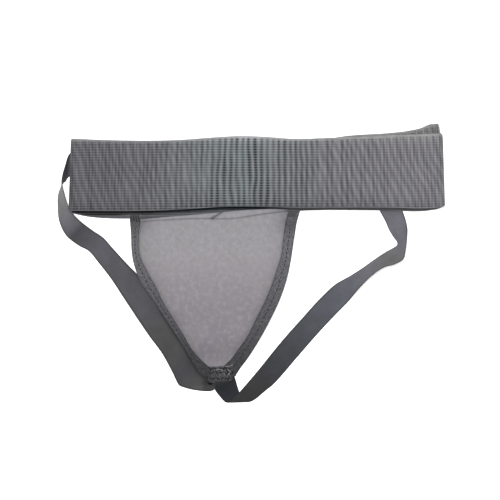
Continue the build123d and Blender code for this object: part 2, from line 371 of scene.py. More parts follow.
def webbing(name, colors):
    """Leg strap: plain woven elastic with fine ribs along it, its colour given along its run, where painted
    light and shade make it lighter or darker.
    """
    s = Shader(name, 0.84, Sheen_Weight=0.04, Sheen_Roughness=0.45, Specular_IOR_Level=0.15)
    weave, run, across = s.places()
    ribs = s.wave(across, 1.15)
    picks = s.wave(run, 0.9)
    fuzz = s.noise(weave, 1.3, 4.0)
    blotch = s.noise(weave, 0.07, 3.0)
    color = s.stops(run, colors)
    color = s.mix(s.math("MULTIPLY", ribs, 0.05), color, grey(190))
    color = s.mix(s.spread(blotch, 0.3, 0.7, 0.0, 0.5), color, grey(205), "MULTIPLY")
    color = s.mix(s.spread(fuzz, 0.35, 0.7, 0.0, 0.4), color, grey(180), "MULTIPLY")
    # Painted shade where the left strap runs under the binding, and a lighter band by the patch, from a
    # per-point factor
    shade = s.add("Attribute", attribute_name="painted_light").outputs["Fac"]
    color = s.mix(1.0, color, s.stops(shade, [(0.0, (0, 0, 0, 1)), (2.0, (2, 2, 2, 1))]), "MULTIPLY")
    edge = s.math("GREATER_THAN", s.math("ABSOLUTE", across), WEBBING_EDGE)
    color = s.mix(s.math("MULTIPLY", edge, 0.45), color, grey(48))
    woven = s.math("MULTIPLY", ribs, s.math("MULTIPLY_ADD", picks, 0.6, 0.4))
    normal = s.bump(s.math("ADD", woven, s.math("MULTIPLY", fuzz, 0.5)), 0.14)
    return s.done(color, normal)


def binding_tape(name, levels, bright=1.95, dull=0.36):
    """Folded elastic binding: slanting cords crossed by narrow ribs, its levels given along its run, which
    grow darker towards the tip as painted shade.
    """
    s = Shader(name, 0.86, Sheen_Weight=0.05, Sheen_Roughness=0.5, Specular_IOR_Level=0.15)
    weave, run, across = s.places()
    slant = s.math("MULTIPLY_ADD", run, 0.4, across)
    ribs = s.wave(run, 1.7)
    cords = s.wave(slant, 2.3)
    fuzz = s.noise(weave, 0.9, 4.0)
    flecks = s.noise(s.add("Mapping", {"Vector": weave, "Scale": (0.25, 0.8, 1.0)}).outputs[0], 1.0, 4.0, 0.7)
    color = s.stops(run, [(place, grey(level, (1.0, 0.985, 1.05))) for place, level in levels])
    light = s.mix(1.0, color, (bright, bright, bright * 1.03, 1), "MULTIPLY")
    dark = s.mix(1.0, color, (dull, dull, dull * 1.06, 1), "MULTIPLY")
    color = s.mix(s.math("MULTIPLY", cords, 0.55), color, light)
    color = s.mix(s.math("MULTIPLY", ribs, 0.35), color, dark)
    color = s.mix(s.spread(flecks, 0.52, 0.68, 0.0, 0.8), color, light)
    color = s.mix(s.spread(flecks, 0.48, 0.3, 0.0, 0.85), color, dark)
    edge = s.math("GREATER_THAN", s.math("ABSOLUTE", across), BINDING_EDGE)
    color = s.mix(s.math("MULTIPLY", edge, 0.35), color, dark)
    height = s.math("ADD", s.math("MULTIPLY", ribs, s.math("MULTIPLY_ADD", cords, 0.6, 0.4)), fuzz)
    return s.done(color, s.bump(height, 0.25))


def knit(name, level, pitch, depth):
    """A soft knitted cloth: wales and courses, pile, blotches, and a slow change of tint towards the tip,
    darkening there as painted shade.
    """
    s = Shader(name, 0.9, Sheen_Weight=0.2, Sheen_Roughness=0.4, Specular_IOR_Level=0.2)
    weave, run, across = s.places()
    lean = s.math("MULTIPLY", s.math("SINE", s.math("MULTIPLY", run, 2 * math.pi / pitch)), pitch * 0.18)
    wales = s.wave(s.math("ADD", across, lean), pitch)
    courses = s.wave(run, pitch * 0.8)
    fuzz = s.noise(weave, 1.8, 5.0)
    cloud = s.noise(weave, 0.035, 2.0)
    mottle = s.noise(weave, 0.2, 5.0, 0.65)
    # Darker towards the tip: painted shade, with slight changes of tint
    tones = [
        (-105, 0.84, (1.02, 0.92, 1.06)), (-86, 0.85, (1.02, 0.92, 1.08)), (-55, 0.87, (1.02, 0.925, 1.05)),
        (-24, 0.93, (1.03, 0.94, 1.05)), (7, 1.0, (1.02, 0.97, 1.04)), (45, 0.99, (1.01, 0.98, 1.06)),
    ]
    color = s.stops(run, [(place, grey(level * share, tint)) for place, share, tint in tones])
    color = s.mix(s.spread(cloud, 0.4, 0.75, 0.0, 0.5), color, grey(level * 0.95, (1.03, 1.0, 0.97)))
    color = s.mix(s.spread(mottle, 0.5, 0.75, 0.0, 0.5), color, grey(level * 1.12, (0.99, 1.0, 1.03)))
    color = s.mix(s.spread(mottle, 0.5, 0.25, 0.0, 0.4), color, grey(level * 0.8, (1.03, 0.98, 1.02)))
    loops = s.math("MULTIPLY", wales, courses)
    color = s.mix(s.math("MULTIPLY", loops, 0.16), color, grey(level * 1.15))
    color = s.mix(s.spread(fuzz, 0.3, 0.75, 0.0, 0.3), color, grey(205), "MULTIPLY")
    # Painted shade: the per-point factor darkens the cloth in the tuck and beside the hem's crease
    shade = s.add("Attribute", attribute_name="painted_light").outputs["Fac"]
    color = s.mix(shade, s.mix(0.85, color, grey(40)), color)
    height = s.math("ADD", loops, s.math("MULTIPLY", fuzz, 0.7))
    return s.done(color, s.bump(height, depth))


def sewing_thread(name, dark, light, gloss=0.3):
    """Thread of two twisted strands."""
    s = Shader(name, 0.65, Sheen_Weight=gloss / 2, Specular_IOR_Level=gloss)
    weave, run, around = s.places()
    twist = s.wave(s.math("ADD", run, around), 0.5)
    fuzz = s.noise(weave, 1.5)
    color = s.mix(twist, grey(dark), grey(light, (1.0, 1.0, 1.04)))
    return s.done(color, s.bump(s.math("ADD", twist, fuzz), 0.08))


def cup_plastic():
    """Moulded polypropylene: off-white, faint flow marks, fine matt grain and scuffs."""
    s = Shader("cup_plastic", 0.42, Specular_IOR_Level=0.45, Subsurface_Weight=0.05)
    place = s.object_places()
    grain = s.noise(place, 2400, 2.0)
    flow = s.noise(place, 26, 4.0)
    scuff = s.noise(place, 160, 6.0, 0.7)
    color = s.mix(s.spread(flow, 0.3, 0.7), grey(166, (1.0, 0.99, 0.95)), grey(178, (1.0, 0.99, 0.97)))
    color = s.mix(s.spread(scuff, 0.6, 0.8, 0.0, 0.3), color, grey(142, (1.0, 0.98, 0.94)))
    rough = s.spread(scuff, 0.3, 0.8, 0.34, 0.6)
    return s.done(color, s.bump(grain, 0.05), rough)


def rim_rubber():
    """Soft moulded rubber: dark, fine grain, a little dust."""
    s = Shader("rim_rubber", 0.7, Specular_IOR_Level=0.35)
    place = s.object_places()
    grain = s.noise(place, 1800, 3.0)
    dust = s.noise(place, 90, 4.0)
    color = s.mix(s.spread(dust, 0.4, 0.75), grey(52, (1.0, 1.0, 1.02)), grey(70))
    return s.done(color, s.bump(grain, 0.08), s.spread(dust, 0.3, 0.7, 0.6, 0.82))


ELASTIC = ribbed_elastic()
# Levels along the binding's run, darker towards the tip: painted shade
BINDING = binding_tape("binding_tape", [
    (0, 74), (40, 80), (70, 77), (100, 70), (140, 64), (170, 53), (190, 48),
])
# Levels along the patch, darker towards its lower edge: painted shade
PATCH = binding_tape("tip_patch_tape", [(-130, 52), (-118, 66), (-105, 70)], 2.6, 0.22)
LINING = knit("lining_knit", 125, 1.1, 0.1)
PANEL = knit("outer_panel_knit", 84, 1.5, 0.2)
THREAD = sewing_thread("sewing_thread", 26, 50, 0.15)
SHADOW_BLOB_THREAD = sewing_thread("shadow_blob_thread", 8, 22, 0.06)
TIP_THREAD = sewing_thread("tip_sewing_thread", 18, 40, 0.08)
MID_THREAD = sewing_thread("mid_sewing_thread", 50, 74)
LIGHT_THREAD = sewing_thread("light_sewing_thread", 88, 122)
VIOLET, BLUISH = (1.0, 0.97, 1.14), (0.94, 1.0, 1.2)
# Along the left strap's run, painted light and shade: the darker face before its twist, the lit face after
# it, a painted shade in the twist's crease, and darker towards the tip
LEFT_WEBBING = webbing("left_strap_webbing", [
    (0, grey(66, VIOLET)), (50, grey(66, VIOLET)), (58, grey(122)), (78, grey(111)),
    (94, grey(94, VIOLET)), (104, grey(82, VIOLET)), (111, grey(56, VIOLET)), (118, grey(66, VIOLET)),
    (128, grey(70, VIOLET)), (142, grey(77, VIOLET)), (165, grey(72, VIOLET)), (220, grey(69, VIOLET)),
    (245, grey(64)), (270, grey(61)), (296, grey(55, VIOLET)), (325, grey(60)),
])
# Along the right strap's run, painted shade: darkest by the tip and lighter on its way to the waistband
RIGHT_WEBBING = webbing("right_strap_webbing", [
    (0, grey(42, BLUISH)), (18, grey(16, (0.5, 1.0, 2.3))), (32, grey(24, (0.6, 1.0, 2.0))),
    (46, grey(38)), (62, grey(38)), (78, grey(43, VIOLET)), (95, grey(47, BLUISH)),
    (115, grey(54, BLUISH)), (138, grey(60, BLUISH)), (162, grey(69, BLUISH)), (200, grey(80, BLUISH)),
    (235, grey(97, VIOLET)), (262, grey(97)), (285, grey(100, VIOLET)), (312, grey(99, VIOLET)),
    (340, grey(80, BLUISH)),
])


# ---------------------------------------------------------------- camera, lights and floor

CAMERA_HEIGHT = 1500.0
SENSOR_WIDTH = 36.0
PICTURE_WIDTH = 520.8
PICTURE_PLANE = 12.0  # height at which the picture is that wide
AIM = (-2.1, 12.5)
FLOOR_GLOW = 0.35  # the photo's table is lit through, so that nothing on it casts a shadow
FLOOR_REACH = 6.0  # metres from the middle to a side
SKY_STRENGTH = 0.45
LIGHTS = (  # name, place in metres, size in metres, power in watts
    ("key_light", (-0.06, 0.2, 1.5), 0.22, 25.0),
    ("fill_light", (0.5, -0.75, 1.0), 1.1, 5.0),
)


def set_stage():
    """The camera straight above, the pale floor, the lights and the sky."""
    camera = bpy.data.objects.new("camera", bpy.data.cameras.new("camera"))
    camera.location = Vector((AIM[0], AIM[1], CAMERA_HEIGHT)) * MM
    camera.data.sensor_width = SENSOR_WIDTH
    camera.data.lens = SENSOR_WIDTH * (CAMERA_HEIGHT - PICTURE_PLANE) / PICTURE_WIDTH
    camera.data.clip_end = 20.0
    bpy.context.scene.collection.objects.link(camera)
    bpy.context.scene.camera = camera

    floor_mesh = bpy.data.meshes.new("floor")
    corners = [(x * FLOOR_REACH, y * FLOOR_REACH, 0) for x, y in ((-1, -1), (1, -1), (1, 1), (-1, 1))]
    floor_mesh.from_pydata(corners, [], [[0, 1, 2, 3]])
    s = Shader("floor_paper", 0.9, Specular_IOR_Level=0.2)
    tone = s.noise(s.object_places(), 3.0)
    s.surface.inputs["Emission Color"].default_value = (1, 1, 1, 1)
    s.surface.inputs["Emission Strength"].default_value = FLOOR_GLOW
    paper = s.mix(tone, (0.9, 0.9, 0.9, 1), (0.92, 0.92, 0.92, 1))
    floor_mesh.materials.append(s.done(paper))
    floor = bpy.data.objects.new("floor", floor_mesh)
    floor.location.z = -0.0002
    bpy.context.scene.collection.objects.link(floor)

    for name, place, size, power in LIGHTS:
        light = bpy.data.lights.new(name, "AREA")
        light.size, light.energy = size, power
        lamp = bpy.data.objects.new(name, light)
        lamp.location = place
        lamp.rotation_euler = (Vector((0, 0, 0)) - Vector(place)).to_track_quat("-Z", "Y").to_euler()
        bpy.context.scene.collection.objects.link(lamp)

    world = bpy.data.worlds.new("studio")
    world.use_nodes = True
    sky = world.node_tree.nodes["Background"]
    sky.inputs["Color"].default_value = (1, 1, 1, 1)
    sky.inputs["Strength"].default_value = SKY_STRENGTH
    bpy.context.scene.world = world
    bpy.context.scene.view_settings.view_transform = "Standard"


set_stage()

# ---------------------------------------------------------------- waistband

# The edges of the upper (near) and the lower (far) layer, as (x, y) places
NEAR_LOW = [
    (-190, 53), (-106, 53), (-60, 55), (-44, 56.2), (50, 56.2), (140, 56.3), (185, 56), (195, 57),
    (200, 58.5),
]
NEAR_HIGH = [
    (-190, 128), (-150, 126.2), (-71, 126.3), (-37, 128.8), (-12, 130), (12, 129.3), (46, 127),
    (75, 128), (200, 133.4),
]
FAR_LOW = [
    (-190, 52), (-176, 48.4), (-150, 45.7), (-125, 45.4), (-90, 45.6), (-50, 47.5), (10, 51), (60, 54),
    (140, 54), (185, 54), (195, 56), (200, 58.5),
]
FAR_HIGH = [
    (-190, 124), (-100, 122), (0, 126), (71, 128), (104, 132.6), (146, 135.4), (165, 137.6),
    (180, 140.8), (191, 144.6), (200, 144.8),
]
# How much of the lower layer's lower edge stays out of the loop's painted shade, as (x, width)
UNSHADED_EDGE = [(-185, 0.8), (-166, 1.2), (-148, 2.3), (-130, 3.6), (-105, 5.4), (-80, 8)]
FOLD_RADIUS = 9.0 - BAND_THICKNESS / 2
LAP = (80.0, 104.0)  # where the elastic's ends are lapped
LAP_GAP = 0.06
RIB_ROW_STEP = 0.62
PATH_STEP = 4.0


def loop_path():
    """The waistband's middle line in X and Z: lower layer, right fold, upper layer, left fold, lap."""
    half = BAND_THICKNESS / 2
    under, left, right = BAND_UNDER + half, BAND_LEFT + half, BAND_RIGHT - half
    centre, reach = (left + right) / 2, (right - left) / 2
    crown, sides = BAND_TOP - half, BAND_SIDES - half

    def arch(x):
        return crown - (crown - sides) * ((x - centre) / reach) ** 2

    points = [(x, under) for x in np.arange(LAP[0], right - FOLD_RADIUS, PATH_STEP)]
    fold_top = arch(right - FOLD_RADIUS)
    rise = (fold_top - under) / 2
    fold_right, fold_left = right - FOLD_RADIUS, left + FOLD_RADIUS
    turns = [(FOLD_RADIUS * math.cos(a), math.sin(a)) for a in np.linspace(-math.pi / 2, math.pi / 2, 22)]
    points += [(fold_right + out, under + rise * (1 + up)) for out, up in turns]
    points += [(x, arch(x)) for x in np.arange(fold_right - PATH_STEP, fold_left + 2, -PATH_STEP)]
    points += [(fold_left - out, under + rise * (1 - up)) for out, up in turns]
    points += [(x, under) for x in np.arange(fold_left + PATH_STEP, LAP[0] - 6, PATH_STEP)]
    lapped = under + BAND_THICKNESS + LAP_GAP
    points += [(LAP[0] - 1.5, lapped), (LAP[1], lapped)]
    points = np.array(points)
    run = np.r_[0, np.cumsum(np.linalg.norm(np.diff(points, axis=0), axis=1))]
    places = np.arange(0, run[-1], RIB_ROW_STEP)
    return np.interp(places, run, points[:, 0]), np.interp(places, run, points[:, 1]), places


def ribs(x, run, y, upper):
    """The band's relief: height of its ribs from 0 to 1, their depth, their swell, how dark their grooves are
    painted as shade, darker diagonal bands, and how far it is gathered.
    """
    slack = np.exp(-(((x + 2) / 58) ** 2)) * upper
    pitch = 3.5 + 1.5 * smoothstep(-np.abs(x - 5), -140, -85) * upper + 1.3 * slack
    phase = np.r_[0, np.cumsum(2 * math.pi / pitch[:-1] * np.diff(run))][:, None]
    slack = slack[:, None]
    u = np.repeat(run[:, None], y.shape[1], axis=1)
    sway = 0.5 * (0.4 + slack) * wander(u, y * 0.55, 30, 3.0) + 0.2 * wander(u, y * 0.4, 9, 5.0)
    crest = 0.5 + 0.5 * np.cos(phase + 2 * math.pi * sway)
    # Some grooves stay shut and some gape, and each changes a little across the band
    gape = np.clip(0.9 + 0.95 * wander(u, y * 0.1, 6.5, 11.0) + 0.35 * wander(u, y * 0.6, 15, 13.0), 0.3, 1.4)
    depth = (0.4 + 1.05 * slack) * gape
    swell = slack * wander(u, y * 0.1, 8, 21.0)
    shade = (0.34 + 0.74 * slack) * gape
    lean = 0.5 + 0.5 * np.sin(2 * math.pi * ((x[:, None] + 0.38 * y) / 8.1 + 0.5 * wander(u, y, 30, 17.0)))
    return crest, depth, swell, shade, lean * (1 - slack), slack


def make_waistband():
    """The closed loop of ribbed elastic, its grooves pressed in from both faces."""
    x, z, run = loop_path()
    level = smoothstep((z - BAND_UNDER) / (BAND_SIDES - BAND_UNDER), 0.3, 0.7)
    low = through(FAR_LOW, x) * (1 - level) + through(NEAR_LOW, x) * level
    high = through(FAR_HIGH, x) * (1 - level) + through(NEAR_HIGH, x) * level
    selvedge = [0, 0.003, 0.01, 0.018, 0.026]
    v = np.concatenate([selvedge, np.linspace(0.045, 0.955, 23), 1 - np.array(selvedge[::-1])])[None, :]
    y = low[:, None] * (1 - v) + high[:, None] * v
    lean = (x[:, None] - 5) / 195 * (90 - y) / 75 * 2.4
    lean = lean - 2.6 * smoothstep(y, 132.2, 133.8) * smoothstep(x[:, None], 172, 196)
    middle = np.stack([x[:, None] + lean, y, np.repeat(z[:, None], y.shape[1], axis=1)], axis=-1)
    normal = grid_normals(middle)
    if normal[0, y.shape[1] // 2, 2] > 0:  # the path starts on the lower layer, where outwards is down
        normal = -normal
    crest, depth, swell, shade, diagonal, slack = ribs(x, run, y, smoothstep(z, 15, 24))
    lower = 1 - smoothstep(z, 3, 8)[:, None]
    ribbed = smoothstep(v - 0.08 * lower, 0.004, 0.02) * smoothstep(1 - v, 0.015, 0.045)
    half = BAND_THICKNESS / 2 * rounded(v * 2 - 1, 60)
    groove = depth * (1 - crest**0.75) * ribbed
    outside = np.maximum(half - groove, half * 0.2) + 0.5 * swell * ribbed
    inside = np.maximum(half - 0.6 * groove, half * 0.2) - 0.5 * swell * ribbed
    outer = middle + normal * outside[..., None]
    inner = middle - normal * inside[..., None]
    # Painted shade in the grooves and in darker diagonal bands
    painted_light = 1 - (shade * (1 - crest**0.55) + 0.3 * diagonal) * ribbed
    # Painted highlight along the upper edge
    painted_light = painted_light + (0.12 + 0.3 * slack**2) * np.exp(-(1 - v) * BAND_HEIGHT / 7)
    # Painted shade along the upper layer's lower edge
    painted_light = painted_light - (0.26 + 0.2 * slack) * (1 - lower) * np.exp(-v * BAND_HEIGHT / 6)
    # The lower layer is painted darker: painted shade near its lower edge, and deeper painted shade of the
    # loop past its unshaded strip
    unshaded_width = through(UNSHADED_EDGE, x)
    painted_loop_shade = smoothstep(y - (low + unshaded_width)[:, None], -0.3, 1.2) * smoothstep(-y, -66, -58)
    deep = 0.08 + 0.72 * smoothstep(-x[:, None], 80, 125)
    painted_light = painted_light - lower * (0.33 * np.exp(-v * BAND_HEIGHT / 20) + deep * painted_loop_shade)
    u = np.repeat(run[:, None], y.shape[1], axis=1)
    piece = slab(
        "waistband_elastic", inner, outer, u, y, np.clip(painted_light, 0, 1.5),
        material=ELASTIC, slot="waistband_elastic", replaces=("waistband",),
    )


make_waistband()

# ---------------------------------------------------------------- pouch

# The bindings' outer and inner edges, as (y, x) places
LEFT_SIDE = [
    (62, -128.6), (47, -128.4), (30, -126.2), (12, -125.4), (0, -123.6), (-10, -120.5), (-20, -116.5),
    (-40, -102.8), (-65.6, -86), (-84, -74.2), (-98.6, -65.6), (-110, -59.2), (-116, -55.4), (-122, -49),
]
LEFT_INNER = [
    (62, -120), (50, -118), (40, -116.8), (24, -118), (7, -116.8), (-9.5, -109.5), (-26, -100),
    (-42, -92.6), (-59, -82), (-76, -71.4), (-92.5, -61.8), (-101, -54.6), (-111, -44.5), (-122, -40.5),
]
RIGHT_SIDE = [
    (62, 52), (52, 50), (41.7, 47), (23, 43.6), (2, 40.4), (-18.8, 35.9), (-41.7, 27.8),
    (-60.4, 18.9), (-81.3, 7.6), (-102, -5.4), (-113, -13.6), (-122, -19),
]
RIGHT_INNER = [
    (62, 40), (50, 37.6), (40, 34.8), (24, 32.6), (7, 30.5), (-9.5, 25.4), (-26, 19.8), (-42, 13),
    (-59, 4.4), (-76, -4), (-92.5, -15.4), (-101, -21.4), (-111, -31), (-122, -36.5),
]
BINDING_WIDTH = 9.0
POUCH_TOP, POUCH_TIP, SEAM_END = 47.0, -108.0, 62.0
BINDING_END = -120.0
LINING_MIDDLE = 21.4
LINING_THICKNESS = 0.8
LINING_RISE = 2.0  # from the outer panel's underside to the lining, at the bindings
PANEL_SEAM, PANEL_PADDING = 1.2, 1.8  # thickness of the outer panel in its seams, and its padding's
EDGE_RISE = 10.0
MOUTH = 44.0


def side_edge(side, y):
    """Where the binding ends."""
    return through(LEFT_SIDE if side < 0 else RIGHT_SIDE, y)


def side_inner(side, y):
    """Where the fabric meets the binding."""
    return through(LEFT_INNER if side < 0 else RIGHT_INNER, y)


def edge_low(y):
    """Height of the pouch's bound edges above the table."""
    rise = EDGE_RISE * smoothstep(-np.asarray(y, float), -POUCH_TOP, -26)
    return rise + (TIP_LEVEL - EDGE_RISE) * smoothstep(-np.asarray(y, float), 62, -POUCH_TIP)


def fabric_places(y, share):
    """X across the fabric, share going from -1 at the left binding to 1 at the right."""
    left, right = side_inner(-1, y), side_inner(1, y)
    return (left + right) / 2 + share * (right - left) / 2


def lining_height(y, share):
    edge = edge_low(y) + LINING_RISE
    middle = LINING_MIDDLE - (LINING_MIDDLE - TIP_LEVEL - LINING_RISE) * smoothstep(-y, 76, -POUCH_TIP)
    return edge + (middle - edge) * (1 - np.abs(share) ** 6.5)


# The hem's edges, as (x, y) places
HEM_HIGH = [(-130, 44.2), (-117, 44.6), (-85, 47), (-60, 49), (-36, 51.2), (-12, 53.6), (10, 54.8), (50, 56)]
HEM_LOW = [(-130, 41.8), (-100, 43.4), (-54, 45.4), (-21, 45.2), (0, 48.2), (19, 51.2), (50, 54)]
TUCK = ((-29.0, 53.0), (-42.0, 45.0))  # a small tuck across the mouth's hem, painted dark inside as shade


def from_tuck(x, y):
    """Distance to the tuck's line, and how far along it from 0 to 1."""
    (ax, ay), (bx, by) = TUCK
    length = math.hypot(bx - ax, by - ay)
    dx, dy = (bx - ax) / length, (by - ay) / length
    share = np.clip(((x - ax) * dx + (y - ay) * dy) / length, 0, 1)
    return np.hypot(x - ax - share * length * dx, y - ay - share * length * dy), share


def tuck_depth(x, y):
    away = from_tuck(x, y)[0]
    return 1.7 * np.exp(-((away / 1.1) ** 2)) - 0.7 * np.exp(-(((away - 2.4) / 1.4) ** 2))


def mouth_shade(x, y):
    """Painted shade beside the hem's crease and inside the tuck: how light the cloth stays, from 0 to 1."""
    away, share = from_tuck(x, y)
    crease = np.exp(-(((y - through(HEM_LOW, x)) / 0.9) ** 2))
    return (1 - 0.95 * np.exp(-((away / (1.0 + 0.5 * share)) ** 2))) * (1 - 0.22 * crease)


def make_lining(hem):
    """The lining, drawn over the cup's rim and slightly wrinkled."""
    steep = np.linspace(0.8, 1, 8)
    shares = np.concatenate([-steep[:0:-1], np.linspace(-0.8, 0.8, 60), steep[1:]])
    lows = np.linspace(0, 1, 76)[:, None]
    share = shares[None, :]
    # Rows run from the hem's lower edge, which isn't straight, to the fabric's tip
    x_top = fabric_places(MOUTH, share)
    top_y = through(HEM_LOW, x_top)
    y = top_y * (1 - lows) + (POUCH_TIP - 3) * lows
    share = np.repeat(share, len(lows), axis=0)
    x = fabric_places(y, share)
    z = lining_height(y, share)
    wrinkles = 0.3 * wander(x, y, 34, 2.0) + 0.14 * wander(x * 0.7, y, 13, 7.0)
    pulls = 0.25 * np.sin((x * 0.35 + y) * 0.14) * smoothstep(np.abs(share), 0.5, 1.0)
    z = z + (wrinkles + pulls) * (1 - np.abs(share) ** 8)
    middle = np.stack([x, y, z], axis=-1)
    normal = grid_normals(middle)
    normal *= np.sign(normal[..., 2:3].mean())
    half = LINING_THICKNESS / 2
    # mouth_shade paints shade into the tuck and beside the hem's crease
    piece = slab(
        "pouch_lining_cloth", middle + normal * half, middle - normal * half, y, x, mouth_shade(x, y),
        material=LINING, slot="lining_fabric", replaces=("pouch_lining",),
    )


def make_hem():
    """The lining's turned edge at the pocket's mouth, with its tuck."""
    shares = np.linspace(-1, 1, 90)[None, :]
    x = fabric_places(MOUTH, shares)
    low, high = through(HEM_LOW, x), through(HEM_HIGH, x)
    rows = np.array([0, 0.03, 0.1, 0.25, 0.4, 0.55, 0.7, 0.85, 0.95, 1.0])[:, None]
    y = low * (1 - rows) + high * rows
    share = np.repeat(shares, len(rows), axis=0)
    x = fabric_places(np.minimum(y, POUCH_TOP), share)
    arch = lining_height(np.minimum(y, MOUTH), share) + 0.35
    z = arch + 0.35 * wander(x, y, 9, 4.0) - tuck_depth(x, y)
    middle = np.stack([x, y, z], axis=-1)
    normal = grid_normals(middle)
    normal *= np.sign(normal[..., 2:3].mean())
    half = 0.75 * rounded(rows * 2 - 1, 4)[..., None] + 0.05
    # mouth_shade paints shade into the tuck and beside the hem's crease
    return slab(
        "pocket_mouth_hem_cloth", middle + normal * half, middle - normal * half, y, x, mouth_shade(x, y),
        material=LINING, slot="lining_fabric", replaces=("pocket_mouth_hem",),
    )


def panel_grid():
    """Places on the outer panel: x, y, height of its underside and its thickness."""
    shares = np.linspace(-1, 1, 49)[None, :]
    y = np.linspace(SEAM_END, POUCH_TIP - 2, 72)[:, None]
    y = np.repeat(y, shares.shape[1], axis=1)
    share = np.repeat(shares, y.shape[0], axis=0)
    keel = TIP_LEVEL * smoothstep(-y, 84, -POUCH_TIP)
    low = keel + (edge_low(y) - keel) * share**2
    padded = smoothstep(-y, -42, -26) * smoothstep(y, -100, -80) * (1 - share**2)
    return fabric_places(y, share), y, low, PANEL_SEAM + PANEL_PADDING * padded


def make_panel():
    x, y, low, thick = panel_grid()
    lower = np.stack([x, y, low + 0.18], axis=-1)
    upper = np.stack([x, y, low + thick - 0.12], axis=-1)
    piece = slab(
        "pouch_outer_panel_cloth", upper, lower, y, x,
        material=PANEL, slot="outer_panel_fabric", replaces=("pouch_outer_panel",),
    )


def binding_top(y):
    return edge_low(y) + PANEL_SEAM + 2.2 * smoothstep(-np.asarray(y, float), -POUCH_TOP, -33)


def make_binding(side, name):
    """A tape folded over the fabric's edge: a flattened tube with a sewn valley down its middle."""
    y = np.linspace(SEAM_END - 6, BINDING_END, 160)
    inner, outer = side_inner(side, y), side_edge(side, y)
    low, high = edge_low(y), binding_top(y)
    turns = np.linspace(0, 2 * math.pi, 29)[:-1]
    run = np.r_[0, np.cumsum(np.hypot(np.diff(outer), np.diff(y)))]
    vertices, weave = [], []
    for i in range(len(y)):
        centre, half = (inner[i] + outer[i]) / 2, (outer[i] - inner[i]) / 2 * 1.02
        level, tall = (low[i] + high[i]) / 2, (high[i] - low[i]) / 2
        for a in turns:
            c, s = math.cos(a), math.sin(a)
            across = math.copysign(abs(c) ** 0.45, c)
            up = math.copysign(abs(s) ** 0.7, s)
            valley = 0.22 * math.exp(-((across / 0.22) ** 2)) * tall
            scallop = 0.12 * math.sin(run[i] * 2 * math.pi / 3.4) * abs(across)
            vertices.append((centre + half * across, y[i], level + up * (tall - valley) + scallop))
            weave.append((run[i], across * BINDING_WIDTH / 2, 0.0))
    ring = len(turns)
    faces = []
    for i in range(len(y) - 1):
        for k in range(ring):
            a, b = i * ring + k, i * ring + (k + 1) % ring
            faces.append([a, b, b + ring, a + ring] if side > 0 else [a, a + ring, b + ring, b])
    faces.append(list(range(ring)))
    faces.append(list(range((len(y) - 1) * ring, len(y) * ring))[::-1])
    return finish_piece(
        f"{name}_tape", vertices, faces, BINDING, "binding_elastic", (name,), weave=np.array(weave)
    )


def make_binding_stitches(side, name):
    spots = []
    length = 3.1
    for y in np.arange(36, POUCH_TIP + 2, -length * 1.36):
        ends = []
        for yy in (y, y - length * 0.86):
            x = (side_inner(side, yy) + side_edge(side, yy)) / 2
            ends.append((float(x), yy, float(binding_top(yy)) - 0.12))
        spots.append(ends)
    stitches(f"{name}_stitches", spots, THREAD, (f"{name}_stitching",), radius=0.4)


def make_corner_tack(side, name):
    """Steep zigzag at the corner of the pocket's mouth, over the lower layer and the binding."""
    spots = []
    foot, head = (41.4, 49.6) if side < 0 else (46.8, 51.6)
    for i in range(7):
        x = side_inner(side, 46.0) + side * (0.6 + i * 1.35)
        low = foot + 1.1 * noise.noise(Vector((i * 0.9, side, 2.0)))
        high = head + 1.1 * noise.noise(Vector((i * 0.9, side, 6.0)))
        near = (float(x), low, float(binding_top(low)) + 0.2)
        far = (float(x + side * 1.1), high, max(float(binding_top(high)), INNER_FACE) + 0.25)
        spots.append((near, far))
    material = THREAD if side < 0 else MID_THREAD
    stitches(f"{name}_tack_stitches", spots[::2], material, (f"{name}_bar_tack",), radius=0.5)
    stitches(f"{name}_tack_back_stitches", spots[1::2], MID_THREAD, radius=0.5)


make_lining(make_hem())
make_panel()
for side, name in ((-1, "left_binding"), (1, "right_binding")):
    make_binding(side, name)
    make_binding_stitches(side, name)
    make_corner_tack(side, name)

# ---------------------------------------------------------------- leg straps

# Places along the straps' two edges, from their seams on: (x, y, z, x, y, z)
LEFT_STRAP = [
    (-163, 120, 0.78, -156, 98, 0.78), (-178, 117, 0.78, -174, 93, 0.78), (-190, 113, 0.9, -190, 89, 0.7),
    (-194.5, 101, 8, -194, 84, 1.2), (-198.2, 84, 19.5, -197.4, 81, 0.8), (-195, 70, 20, -202, 70, 0.8),
    (-191.8, 60, 18.5, -202.4, 58, 0.7), (-187, 51.5, 12.5, -201, 43, 0.7),
    (-178.5, 42.5, 5.5, -194, 28, 0.7), (-166, 33, 1.4, -180.5, 17, 0.7),
    (-155, 25.5, 0.9, -170, 11.3, 1.6), (-145.5, 15, 0.7, -160, -0.6, 0.8),
    (-130, -2, 0.7, -146.6, -18, 0.7), (-112.5, -20.5, 0.7, -132.8, -39, 0.7),
    (-86.5, -60, 0.7, -107.6, -76.6, 0.7), (-72, -81, 0.7, -93.6, -95.6, 0.7),
    (-62, -98, 0.7, -83, -115, 0.7), (-59, -104, 0.7, -76.8, -127.6, 0.7),
    (-57, -107, 0.7, -74.6, -129.4, 0.7), (-50, -109, 0.9, -59, -133.6, 0.8),
    (-38, -111, 1.8, -40, -133.5, 1.8), (-34, -111.5, 1.8, -37.4, -127.5, 1.8),
    (-25, -112.5, 1.8, -25, -125.5, 1.8),
]
